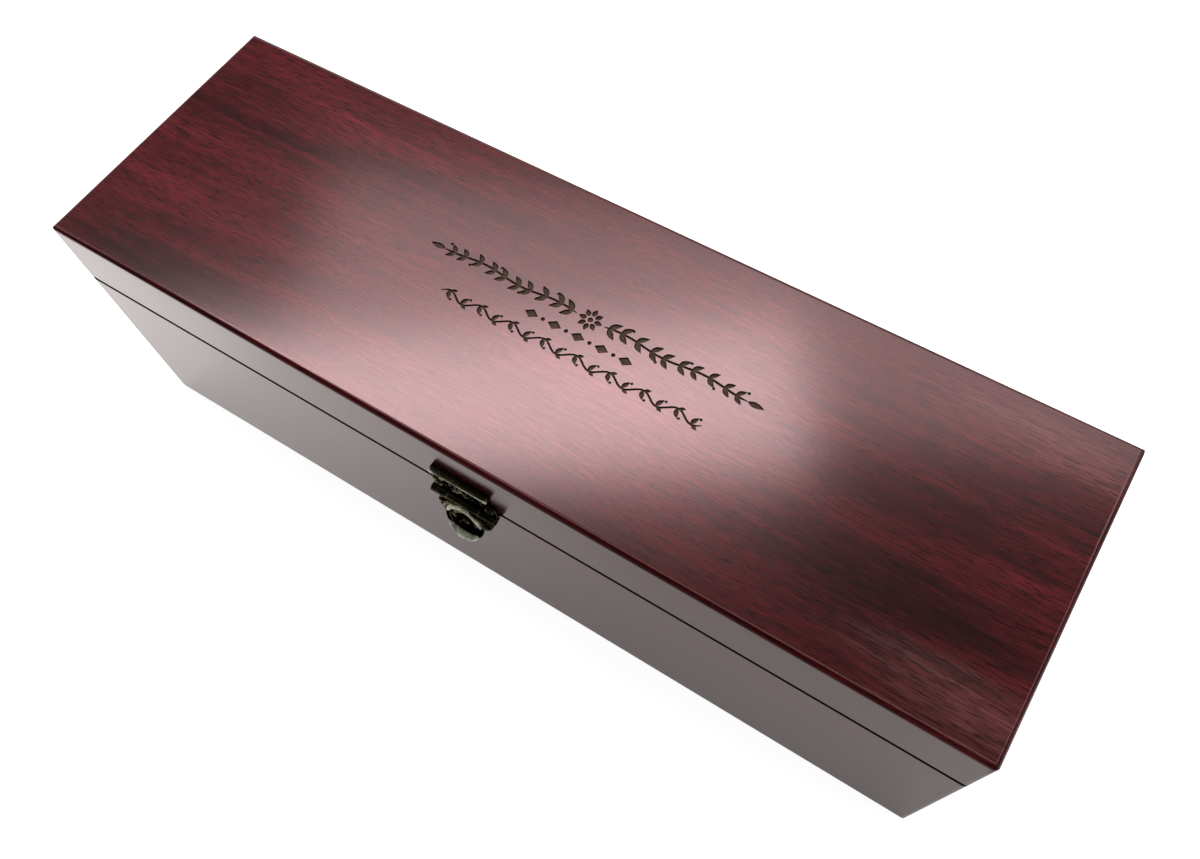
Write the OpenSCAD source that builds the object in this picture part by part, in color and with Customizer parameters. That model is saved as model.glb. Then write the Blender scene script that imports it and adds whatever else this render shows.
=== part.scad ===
// Wooden wine box for one bottle: mitred boards, a hinged lid, a lined bottle bed and a hasp latch.
// X runs along the box, the front faces -Y, and Z is up from the middle of the underside.

/* [Box] */
// Length of the box, outside
box_length = 360; // [345:1:420]
// Depth of the box from front to back, outside
box_depth = 112; // [110:1:140]
// Height of the shut box
box_height = 110; // [108:1:130]
// Thickness of the wall boards
wall = 9; // [8.5:0.5:10]
// Radius of the rounded outer edges
edge_round = 2; // [1:0.25:3]
// Thickness of the bottom board
bottom_board = 6; // [4:0.5:7]
// Depth of the rebate that holds the bottom board
rebate = 5; // [3:0.5:6]
// Clearance of a board or a pad in its seat
seat_clearance = 0.1; // [0.05:0.05:0.3]

/* [Lid] */
// Height of the lid, outside
lid_height = 28; // [26:0.5:32]
// Thickness of the top board
top_board = 9; // [7:0.5:10]
// Height of the tongue under the top board
tongue = 2; // [1:0.5:3]
// Gap between the lid and the case when shut
lid_gap = 0.9; // [0.4:0.1:1.2]
// Bevel on the outer rims where the lid meets the case
rim_bevel = 0.7; // [0.2:0.1:0.8]
// How far the lid opens before the hinge ears meet, in degrees
lid_travel = 100; // [90:1:110]

/* [Lining] */
// Diameter of the bottle that the bed holds
bottle_d = 78; // [74:1:80]
// Diameter of the bottle's neck
neck_d = 31; // [28:1:34]
// Thickness of the lining boards on the walls
lining = 1.5; // [1:0.25:2]
// Distance from the case's rim down to the lining's top edge
lining_drop = 1.5; // [0.5:0.5:3]
// Thickness of the pads on the bottom
bed_pad = 6; // [4:0.5:7]
// Thickness of the pad in the lid
lid_pad_t = 6; // [4:0.5:7]
// Radius on a pad's upper edges
pad_round = 2.5; // [1:0.5:3.5]
// Length along the box of the rest under the bottle's body
body_rest_l = 24; // [18:1:32]
// Length along the box of the rest under the neck
neck_rest_l = 20; // [14:1:28]
// Distance from the box's middle to the body rest, to the left
body_rest_x = 75; // [60:1:100]
// Distance from the box's middle to the neck rest, to the right
neck_rest_x = 100; // [90:1:125]
// Distance from the bottle's axis down to the top of the body rest
body_rest_drop = 6; // [4:1:12]
// Height of the neck rest above the bottle's axis
neck_rest_rise = 5; // [2:1:10]
// Clearance around the bottle in its rests
bottle_clearance = 0.8; // [0.5:0.1:1.5]
// Clearance between neighbouring soft pieces
soft_clearance = 0.3; // [0.2:0.1:0.5]

/* [Hinges] */
// Distance from the box's end to the middle of a hinge
hinge_inset = 68; // [50:1:90]
// Width of a hinge
hinge_w = 30; // [24:1:40]
// Thickness of a hinge leaf
leaf_t = 1; // [0.8:0.1:1.4]
// How far a leaf reaches into the wall's rim
leaf_reach = 7.5; // [6.5:0.25:8]
// Radius of the hinge barrel
barrel_r = 1.9; // [1.6:0.1:2.4]
// Radius of the hinge pin
hinge_pin_r = 0.9; // [0.7:0.05:1]
// Length of the stop ears beyond the barrel
ear_length = 3.6; // [2.5:0.1:5]
// Thickness of the stop ears
ear_t = 1; // [0.8:0.1:1.4]
// Distance between the two screws of a leaf
screw_spacing = 18; // [14:1:20]
// Radius of a screw's shank
screw_r = 0.9; // [0.7:0.05:1.1]
// Radius of a screw's head
screw_head_r = 1.8; // [1.5:0.1:2.1]
// Length of a screw
screw_length = 8; // [6:0.5:10]

/* [Latch] */
// Distance from the gap's middle down to the latch's pivot
latch_drop = 2.2; // [1.9:0.1:3]
// Distance from the front face out to the latch's pivot
latch_out = 2.4; // [2.2:0.1:3]
// Radius of the latch barrel
latch_barrel_r = 1.6; // [1.4:0.1:1.8]
// Radius of the latch pin
latch_pin_r = 0.6; // [0.5:0.05:0.7]
// Length of the whole latch barrel
latch_barrel_l = 26.4; // [25:0.1:29]
// Length of the hasp's own knuckle
hasp_knuckle_l = 13; // [11:0.5:14]
// Height of the latch plate above the pivot
latch_plate_h = 15.2; // [15:0.1:18]
// Thickness of the latch plate and the hasp
latch_t = 1.2; // [1:0.1:1.5]
// Height of the flat bar along the latch plate's top edge
ledge_h = 2.2; // [1.8:0.1:2.8]
// How far that bar stands out from the front face
ledge_out = 2.3; // [2:0.1:2.8]
// How far the hasp hangs from its shut place, just clear of the nib, in degrees
hasp_rest = 7; // [7:0.5:10]
// Height of the nib that the hasp's slot goes over, from the front face
nib_out = 2; // [1.8:0.05:2.1]
// Distance from the pivot down to the nib
nib_drop = 6.6; // [6.2:0.1:7]
// Thickness of the catch plate
catch_t = 0.7; // [0.5:0.1:0.8]
// Clearance of a pin in its knuckles
pin_clearance = 0.04; // [0.02:0.01:0.08]
// Clearance at the ends of the knuckles
knuckle_gap = 0.15; // [0.1:0.05:0.3]

/* [Hidden] */
$fn = 64;
eps = 0.01;
spill = 5;

case_h = box_height - lid_height - lid_gap;
lid_z = case_h + lid_gap;
axis_z = case_h + lid_gap / 2;
rail_h = lid_height - top_board;
inner_length = box_length - 2 * wall;
inner_depth = box_depth - 2 * wall;
bottom_length = inner_length + 2 * rebate;
bottom_depth = inner_depth + 2 * rebate;

lined_length = inner_length - 2 * lining;
lined_depth = inner_depth - 2 * lining;
lining_h = case_h - lining_drop - bottom_board;
pad_depth = lined_depth - 2 * soft_clearance;
bottle_z = bottom_board + bed_pad + soft_clearance + bottle_d / 2;

hinge_x = box_length / 2 - hinge_inset;
barrel_clearance = 0.3;
barrel_y = box_depth / 2 + barrel_r + barrel_clearance;
hinge_knuckles = 5;
knuckle_pitch = hinge_w / hinge_knuckles;
stop_margin = 0.25;
ear_angle = lid_travel / 2 + stop_margin;
screw_y = box_depth / 2 - leaf_reach / 2;
screw_clearance = 0.03;
cross_w = 0.5;
cross_depth = 0.5;

latch_z = axis_z - latch_drop;
rim_above_pivot = latch_drop + lid_gap / 2;
back_clearance = 0.3;
outer_knuckle_x = hasp_knuckle_l / 2 + knuckle_gap;
plate_half = 10;
ledge_y = latch_plate_h - ledge_h / 2;
ledge_half = 11.5;
ledge_bevel = 0.35;
wing_r = 3.6;
wing_x = latch_barrel_l / 2 - wing_r;
wing_y = 4.6;
waist_r = 2.8;
brad_r = 0.5;
brad_head_r = 1.1;
brad_head_h = 0.45;
brad_length = 7;
plate_brads = [[-8.3, 5.4], [8.3, 5.4], [0, 11.3]];
catch_brads = [[-4.9, -4.6], [4.9, -4.6], [0, -12.4]];
scroll_x = 8.2;
scroll_y = -5.8;
scroll_r = 3.1;
slot_w = 3.8;
slot_h = 4.2;
bowl_r = 7.3;
bowl_depth = 1.4;
bowl_t = 0.9;
bowl_y = -10.1;
bowl_out = 1.3;
bowl_tilt = 9;
bowl_rim_r = 0.65;

// Board outline: bottom corners rounded to r, top corners bevelled by b
module board_outline(w, h, r, b) {
    translate([-w / 2 + r, 0]) square([w - 2 * r, r]);
    polygon([[-w / 2, r], [w / 2, r], [w / 2, h - b], [w / 2 - b, h], [-w / 2 + b, h], [-w / 2, h - b]]);
    for (side = [-1, 1]) translate([side * (w / 2 - r), r]) circle(r);
}

// Plan of the box, with its four corners rounded
module plan(l, d, r) {
    square([l - 2 * r, d], center = true);
    square([l, d - 2 * r], center = true);
    for (x = [-1, 1], y = [-1, 1]) translate([x * (l / 2 - r), y * (d / 2 - r)]) circle(r);
}

// Outside of the case: rounded corners and lower edges, with a bevelled rim at height h
module outer_block(h) {
    intersection() {
        linear_extrude(h) plan(box_length, box_depth, edge_round);
        translate([0, box_depth / 2, 0]) rotate([90, 0, 0])
            linear_extrude(box_depth) board_outline(box_length, h, edge_round, rim_bevel);
        translate([-box_length / 2, 0, 0]) rotate([90, 0, 90])
            linear_extrude(box_length) board_outline(box_depth, h, edge_round, rim_bevel);
    }
}

// The lid's outside is the same block turned over, with its rounded edges on top
module lid_block() {
    translate([0, 0, box_height]) rotate([180, 0, 0]) outer_block(lid_height);
}

// The room for one wall along X, mitred at both ends, at the front (side -1) or the back (side 1)
module long_side_room(side) {
    x_out = box_length / 2 + spill;
    y_out = box_depth / 2 + spill;
    x_in = inner_length / 2;
    y_in = inner_depth / 2;
    linear_extrude(box_height)
        polygon([[-x_out, side * y_out], [x_out, side * y_out], [x_in, side * y_in], [-x_in, side * y_in]]);
}

// The room for one wall along Y, at the left (side -1) or the right (side 1)
module short_side_room(side) {
    x_out = box_length / 2 + spill;
    y_out = box_depth / 2 + spill;
    x_in = inner_length / 2;
    y_in = inner_depth / 2;
    linear_extrude(box_height)
        polygon([[side * x_out, -y_out], [side * x_out, y_out], [side * x_in, y_in], [side * x_in, -y_in]]);
}

// What the bottom board's rebate takes out of the walls
module bottom_rebate() {
    translate([-bottom_length / 2, -bottom_depth / 2, -eps])
        cube([bottom_length, bottom_depth, bottom_board + eps]);
}

// One case wall
module case_wall(long, side) {
    color("#4a1014") difference() {
        intersection() {
            outer_block(case_h);
            if (long) long_side_room(side);
            else short_side_room(side);
        }
        bottom_rebate();
        children();
    }
}

// One lid rail under the top board
module lid_rail(long, side) {
    color("#4a1014") difference() {
        intersection() {
            lid_block();
            if (long) long_side_room(side);
            else short_side_room(side);
            translate([-box_length / 2, -box_depth / 2, lid_z]) cube([box_length, box_depth, rail_h]);
        }
        children();
    }
}

module front_wall() {
    case_wall(true, -1) front_frame() brad_holes(catch_brads);
}

module back_wall() {
    case_wall(true, 1) hinge_seats(0);
}

module left_wall() {
    case_wall(false, -1);
}

module right_wall() {
    case_wall(false, 1);
}

module bottom_panel() {
    c = seat_clearance;
    color("#3a1c14") translate([-bottom_length / 2 + c, -bottom_depth / 2 + c, 0])
        cube([bottom_length - 2 * c, bottom_depth - 2 * c, bottom_board]);
}

module top_panel() {
    l = inner_length - 2 * seat_clearance;
    d = inner_depth - 2 * seat_clearance;
    color("#561418") union() {
        intersection() {
            lid_block();
            translate([-box_length / 2, -box_depth / 2, box_height - top_board])
                cube([box_length, box_depth, top_board]);
        }
        translate([-l / 2, -d / 2, box_height - top_board - tongue]) cube([l, d, tongue + eps]);
    }
}

module lid_front_rail() {
    lid_rail(true, -1) front_frame() brad_holes(plate_brads);
}

module lid_back_rail() {
    lid_rail(true, 1) hinge_seats(1);
}

module lid_left_rail() {
    lid_rail(false, -1);
}

module lid_right_rail() {
    lid_rail(false, 1);
}

// Lining boards: the long ones run the full inside length, and the short ones fit between them
module long_lining(side) {
    c = seat_clearance;
    color("#d8c7a4")
        translate([-inner_length / 2 + c, side > 0 ? inner_depth / 2 - lining : -inner_depth / 2, bottom_board])
            cube([inner_length - 2 * c, lining, lining_h]);
}

module short_lining(side) {
    c = seat_clearance;
    color("#d8c7a4")
        translate([side > 0 ? inner_length / 2 - lining : -inner_length / 2, -lined_depth / 2 + c, bottom_board])
            cube([lining, lined_depth - 2 * c, lining_h]);
}

// A pad on the bottom board between two places along X, with rounded upper edges
module bed_pad_between(x0, x1) {
    mid = (x0 + x1) / 2;
    l = x1 - x0;
    color("#d8c7a4") translate([mid, 0, bottom_board]) padded_slab(l, pad_depth, bed_pad);
}

// A slab with its four upper edges rounded
module padded_slab(l, d, t) {
    intersection() {
        translate([0, d / 2, 0]) rotate([90, 0, 0]) linear_extrude(d) pad_outline(l, t);
        translate([-l / 2, 0, 0]) rotate([90, 0, 90]) linear_extrude(l) pad_outline(d, t);
    }
}

module pad_outline(w, t) {
    r = pad_round;
    translate([-w / 2, 0]) square([w, t - r]);
    translate([-w / 2 + r, 0]) square([w - 2 * r, t]);
    for (side = [-1, 1]) translate([side * (w / 2 - r), t - r]) circle(r);
}

module left_bed_pad() {
    bed_pad_between(-lined_length / 2 + soft_clearance, -body_rest_x - body_rest_l / 2 - soft_clearance);
}

module middle_bed_pad() {
    bed_pad_between(-body_rest_x + body_rest_l / 2 + soft_clearance, neck_rest_x - neck_rest_l / 2 - soft_clearance);
}

module right_bed_pad() {
    bed_pad_between(neck_rest_x + neck_rest_l / 2 + soft_clearance, lined_length / 2 - soft_clearance);
}

// A rest across the case with a round seat of radius r about the bottle's axis
module bottle_rest(x, l, top, r) {
    color("#d8c7a4") difference() {
        translate([x - l / 2, -pad_depth / 2, bottom_board]) cube([l, pad_depth, top - bottom_board]);
        translate([x, 0, bottle_z]) rotate([0, 90, 0]) cylinder(r = r, h = l + 2, center = true);
        if (top > bottle_z) translate([x - l / 2 - 1, -r, bottle_z]) cube([l + 2, 2 * r, top - bottle_z + 1]);
    }
}

module body_rest() {
    bottle_rest(-body_rest_x, body_rest_l, bottle_z - body_rest_drop, bottle_d / 2 + bottle_clearance);
}

module neck_rest() {
    bottle_rest(neck_rest_x, neck_rest_l, bottle_z + neck_rest_rise, neck_d / 2 + bottle_clearance);
}

module lid_pad() {
    l = inner_length - 2 * soft_clearance;
    d = inner_depth - 2 * soft_clearance;
    color("#d8c7a4") translate([0, 0, box_height - top_board - tongue]) rotate([180, 0, 0])
        padded_slab(l, d, lid_pad_t);
}

// Hinges. Their frame has its origin on the hinge's axis, X along it and Y pointing out of the back.
module at_hinge(side) {
    translate([side * hinge_x, barrel_y, axis_z]) children();
}

// Turns the case's half of a hinge into the lid's half
module hinge_half(lid) {
    mirror([0, 0, lid]) children();
}

// Every second knuckle, from the first (lid 0) or the second (lid 1)
module each_knuckle(lid) {
    for (i = [lid:2:hinge_knuckles - 1]) translate([(i - (hinge_knuckles - 1) / 2) * knuckle_pitch, 0, 0]) children();
}

module hinge_leaf(lid) {
    knuckle_l = knuckle_pitch - 2 * knuckle_gap;
    leaf_y0 = -(barrel_r + barrel_clearance + leaf_reach);
    leaf_y1 = -(barrel_r + barrel_clearance);
    ear_start = barrel_r + barrel_clearance;
    color("#b08a45") hinge_half(lid) difference() {
        union() {
            translate([-hinge_w / 2, leaf_y0, -lid_gap / 2 - leaf_t]) cube([hinge_w, leaf_y1 - leaf_y0, leaf_t]);
            each_knuckle(lid) {
                rotate([0, 90, 0]) cylinder(r = barrel_r, h = knuckle_l, center = true);
                translate([-knuckle_l / 2, leaf_y1 - eps, -lid_gap / 2 - leaf_t])
                    cube([knuckle_l, -leaf_y1, leaf_t]);
                rotate([-ear_angle, 0, 0]) translate([-knuckle_l / 2, hinge_pin_r + 0.4, -ear_t])
                    cube([knuckle_l, ear_start - hinge_pin_r - 0.4 + eps, ear_t]);
            }
            rotate([-ear_angle, 0, 0]) translate([-hinge_w / 2, ear_start, -ear_t])
                cube([hinge_w, ear_length, ear_t]);
        }
        rotate([0, 90, 0]) cylinder(r = hinge_pin_r + pin_clearance, h = hinge_w + 2, center = true);
        for (x = [-1, 1]) translate([x * screw_spacing / 2, screw_y - barrel_y, -lid_gap / 2]) screw_hole();
    }
}

module hinge_pin() {
    head_h = 0.6;
    color("#8d6d35") rotate([0, 90, 0]) {
        cylinder(r = hinge_pin_r, h = hinge_w, center = true);
        for (end = [0, 1]) mirror([0, 0, end]) translate([0, 0, hinge_w / 2 - eps])
            cylinder(r1 = barrel_r * 0.85, r2 = barrel_r * 0.5, h = head_h);
    }
}

// Screws stand with the head's face at z 0 and the point down
module screw(r, head_r, length, cross) {
    head_h = head_r - r;
    difference() {
        union() {
            translate([0, 0, -head_h]) cylinder(r1 = r, r2 = head_r, h = head_h);
            translate([0, 0, -length + r * 2]) cylinder(r = r, h = length - r * 2 - head_h + eps);
            translate([0, 0, -length]) cylinder(r1 = r * 0.2, r2 = r, h = r * 2 + eps);
        }
        if (cross) for (a = [0, 90]) rotate(a)
            translate([-head_r * 0.55, -cross_w / 2, -cross_depth]) cube([head_r * 1.1, cross_w, cross_depth + 1]);
    }
}

// The hole that takes a screw with its clearance
module screw_hole() {
    c = screw_clearance;
    translate([0, 0, c]) screw(screw_r + c, screw_head_r + 2 * c, screw_length + 4 * c, false);
    cylinder(r = screw_head_r + 2 * c, h = 1);
}

// The four screws of the case's leaves (lid 0) or of the lid's leaves (lid 1)
module hinge_screws(lid) {
    color("#8d6d35") for (side = [-1, 1], x = [-1, 1]) at_hinge(side) hinge_half(lid)
        translate([x * screw_spacing / 2, screw_y - barrel_y, -lid_gap / 2])
            screw(screw_r, screw_head_r, screw_length, true);
}

// Mortises and screw holes that both hinges need in a rim
module hinge_seats(lid) {
    c = seat_clearance;
    leaf_y0 = -(barrel_r + barrel_clearance + leaf_reach);
    for (side = [-1, 1]) at_hinge(side) hinge_half(lid) {
        translate([-hinge_w / 2 - c, leaf_y0 - c, -lid_gap / 2 - leaf_t]) cube([hinge_w + 2 * c, spill * 4, leaf_t + 1]);
        for (x = [-1, 1]) translate([x * screw_spacing / 2, screw_y - barrel_y, -lid_gap / 2]) screw_hole();
    }
}

// Latch. Its frame has its origin on the front face at the pivot's height, Y up and Z out of the face.
module front_frame() {
    translate([0, -box_depth / 2, latch_z]) rotate([90, 0, 0]) children();
}

// Turns a piece about the latch's pivot, outward for a positive angle
module about_pivot(angle) {
    translate([0, 0, latch_out]) rotate([-angle, 0, 0]) translate([0, 0, -latch_out]) children();
}

module brad_holes(places) {
    for (p = places) translate([p.x, p.y, 1 - brad_length - screw_clearance * 2])
        cylinder(r = brad_r + screw_clearance, h = brad_length + 1);
}

// Round-headed brads whose heads lie on a plate of thickness t
module brads(places, t) {
    color("#6e5a34") for (p = places) translate([p.x, p.y, t]) {
        cylinder(r1 = brad_head_r, r2 = brad_head_r * 0.55, h = brad_head_h);
        translate([0, 0, 1 - brad_length]) cylinder(r = brad_r, h = brad_length - 1 + eps);
    }
}

// A raised ring with a round section
module raised_ring(r, bead) {
    rotate_extrude() translate([r, 0]) circle(bead);
}

// A scroll: an open ring that ends in a bead, curling towards +X
module scroll(r, bead) {
    rotate([0, 0, 60]) rotate_extrude(angle = 285) translate([r, 0]) circle(bead);
    rotate([0, 0, 60]) translate([r, 0, 0]) sphere(bead * 1.25);
}

module mirrored_x() {
    children();
    mirror([1, 0, 0]) children();
}

module latch_plate_outline() {
    difference() {
        union() {
            translate([-plate_half, rim_above_pivot]) square([2 * plate_half, ledge_y - rim_above_pivot]);
            mirrored_x() translate([wing_x, wing_y]) circle(wing_r);
        }
        mirrored_x() translate([plate_half + 1.6, wing_y + wing_r + 1.6]) circle(waist_r);
        mirrored_x() translate([4.3, 4.5]) circle(1.1);
        translate([-outer_knuckle_x, -spill]) square([2 * outer_knuckle_x, spill + latch_barrel_r + back_clearance]);
    }
}

// The flat bar along the plate's top edge, with its outer edges and its ends bevelled
module ledge_bar() {
    h = ledge_h / 2;
    o = ledge_out;
    b = ledge_bevel;
    l = ledge_half;
    intersection() {
        translate([-l, ledge_y, 0]) rotate([90, 0, 90]) linear_extrude(2 * l)
            polygon([[-h, 0], [h, 0], [h, o - b], [h - b, o], [-h + b, o], [-h, o - b]]);
        translate([0, ledge_y + h + 1, 0]) rotate([90, 0, 0]) linear_extrude(2 * h + 2)
            polygon([[-l, -1], [l, -1], [l, o - 2 * b], [l - 2 * b, o], [2 * b - l, o], [-l, o - 2 * b]]);
    }
}

module latch_plate() {
    knuckle_l = latch_barrel_l / 2 - outer_knuckle_x;
    color("#5b5133") front_frame() difference() {
        union() {
            linear_extrude(latch_t) latch_plate_outline();
            mirrored_x() translate([outer_knuckle_x, -latch_barrel_r * 0.6, 0])
                cube([knuckle_l, rim_above_pivot + 2, latch_t]);
            mirrored_x() translate([outer_knuckle_x, 0, latch_out]) rotate([0, 90, 0])
                cylinder(r = latch_barrel_r, h = knuckle_l);
            ledge_bar();
            mirrored_x() translate([8.3, 5.4, latch_t]) scroll(2.2, 0.65);
            mirrored_x() translate([6.1, 10.4, latch_t]) rotate(150) scroll(1.5, 0.55);
            for (a = [20:35:160]) translate([2.9 * cos(a), 5.9 + 2.9 * sin(a), latch_t]) sphere(0.85);
            translate([0, 5.6, latch_t]) sphere(1.45);
        }
        translate([0, 0, latch_out]) rotate([0, 90, 0])
            cylinder(r = latch_pin_r + pin_clearance, h = latch_barrel_l + 2, center = true);
        translate([-latch_barrel_l, -spill, -spill]) cube([2 * latch_barrel_l, spill + rim_above_pivot, spill + back_clearance]);
        translate([-latch_barrel_l, -spill, -spill]) cube([2 * latch_barrel_l, 2 * spill + latch_plate_h, spill]);
        for (p = plate_brads) translate([p.x, p.y, -eps]) cylinder(r = brad_r + screw_clearance, h = spill);
        for (p = plate_brads) translate([p.x, p.y, latch_t]) cylinder(r = brad_head_r + 0.2, h = spill);
    }
}

module hasp_outline() {
    difference() {
        union() {
            translate([-hasp_knuckle_l / 2 + 1, -6]) square([hasp_knuckle_l - 2, 6]);
            translate([-scroll_x, scroll_y - 1.4]) square([2 * scroll_x, 4]);
            mirrored_x() translate([scroll_x, scroll_y]) circle(scroll_r);
        }
        mirrored_x() translate([scroll_x, scroll_y]) circle(1.2);
    }
}

// A shallow round bowl, open towards +Z, with a beaded rim
module bowl() {
    curve = (bowl_r * bowl_r + bowl_depth * bowl_depth) / (2 * bowl_depth);
    rotate_extrude() intersection() {
        difference() {
            translate([0, curve - bowl_depth]) circle(curve + bowl_t, $fn = 128);
            translate([0, curve - bowl_depth]) circle(curve, $fn = 128);
        }
        translate([0, -bowl_depth - bowl_t - 1]) square([bowl_r + bowl_rim_r * 0.5, bowl_depth + bowl_t + 1]);
    }
    rotate_extrude() translate([bowl_r + 0.1, 0]) circle(bowl_rim_r);
}

module latch_hasp() {
    z0 = latch_out - latch_t / 2;
    color("#6b5f3a") front_frame() about_pivot(hasp_rest) difference() {
        union() {
            translate([0, 0, z0]) linear_extrude(latch_t) hasp_outline();
            translate([0, 0, latch_out]) rotate([0, 90, 0]) cylinder(r = latch_barrel_r, h = hasp_knuckle_l, center = true);
            translate([0, bowl_y, latch_out + bowl_out]) rotate([-bowl_tilt, 0, 0]) bowl();
            mirrored_x() translate([scroll_x, scroll_y, z0 + latch_t]) scroll(2.1, 0.65);
        }
        translate([0, 0, latch_out]) rotate([0, 90, 0])
            cylinder(r = latch_pin_r + pin_clearance, h = latch_barrel_l, center = true);
        translate([-slot_w / 2, -nib_drop - slot_h / 2, -spill]) cube([slot_w, slot_h, 4 * spill]);
    }
}

module latch_pin() {
    color("#8d7a4a") front_frame() translate([0, 0, latch_out]) rotate([0, 90, 0])
        cylinder(r = latch_pin_r, h = latch_barrel_l - 0.4, center = true);
}

module latch_catch() {
    color("#5b5133") front_frame() {
        difference() {
            linear_extrude(catch_t) difference() {
                union() {
                    mirrored_x() translate([4.3, -6.2]) circle(3.9);
                    translate([-5, -9]) square([10, 5]);
                    translate([0, -11.4]) circle(3.4);
                }
                mirrored_x() translate([5, -11]) circle(1.6);
            }
            for (p = catch_brads) translate([p.x, p.y, -eps]) cylinder(r = brad_r + screw_clearance, h = spill);
        }
        translate([0, -nib_drop, catch_t - eps]) {
            cylinder(r = 1.2, h = nib_out - catch_t - 0.6 + eps);
            translate([0, 0, nib_out - catch_t - 0.6]) cylinder(r1 = 1.2, r2 = 0.7, h = 0.6);
        }
    }
}

front_wall();
back_wall();
left_wall();
right_wall();
bottom_panel();
top_panel();
lid_front_rail();
lid_back_rail();
lid_left_rail();
lid_right_rail();
long_lining(-1);  // front_lining
long_lining(1);  // back_lining
short_lining(-1);  // left_lining
short_lining(1);  // right_lining
left_bed_pad();
middle_bed_pad();
right_bed_pad();
body_rest();
neck_rest();
lid_pad();
at_hinge(-1) hinge_leaf(0);  // left_hinge_case_leaf
at_hinge(-1) hinge_leaf(1);  // left_hinge_lid_leaf
at_hinge(-1) hinge_pin();  // left_hinge_pin
at_hinge(1) hinge_leaf(0);  // right_hinge_case_leaf
at_hinge(1) hinge_leaf(1);  // right_hinge_lid_leaf
at_hinge(1) hinge_pin();  // right_hinge_pin
hinge_screws(0);  // hinge_screws_case
hinge_screws(1);  // hinge_screws_lid
latch_plate();
latch_hasp();
latch_pin();
latch_catch();
front_frame() brads(plate_brads, latch_t);  // latch_brads_lid
front_frame() brads(catch_brads, catch_t);  // latch_brads_case
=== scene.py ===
import math

import bmesh
import bpy
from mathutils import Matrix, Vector


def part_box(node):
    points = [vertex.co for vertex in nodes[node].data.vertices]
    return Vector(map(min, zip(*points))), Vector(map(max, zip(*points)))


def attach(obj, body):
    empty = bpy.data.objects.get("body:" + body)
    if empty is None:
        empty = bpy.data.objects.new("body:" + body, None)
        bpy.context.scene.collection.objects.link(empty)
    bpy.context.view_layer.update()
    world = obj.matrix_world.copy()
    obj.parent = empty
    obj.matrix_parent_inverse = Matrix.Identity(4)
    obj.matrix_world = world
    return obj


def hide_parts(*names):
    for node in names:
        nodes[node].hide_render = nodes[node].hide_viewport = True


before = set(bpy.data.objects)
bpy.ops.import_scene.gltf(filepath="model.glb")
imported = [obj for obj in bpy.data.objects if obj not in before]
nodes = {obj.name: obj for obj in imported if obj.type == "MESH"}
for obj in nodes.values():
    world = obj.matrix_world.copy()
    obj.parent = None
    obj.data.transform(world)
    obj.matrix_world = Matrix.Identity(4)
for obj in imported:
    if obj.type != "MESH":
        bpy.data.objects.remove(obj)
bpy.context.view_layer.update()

mm = 0.001


# Small helpers for nodes and meshes

def toLinear(colour):
    # a screen colour 0-255 as the renderer counts it
    return tuple(((c / 255 + 0.055) / 1.055) ** 2.4 if c > 10 else c / 255 / 12.92 for c in colour) + (1.0,)


def grey(level):
    return (level, level, level, 1.0)


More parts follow.
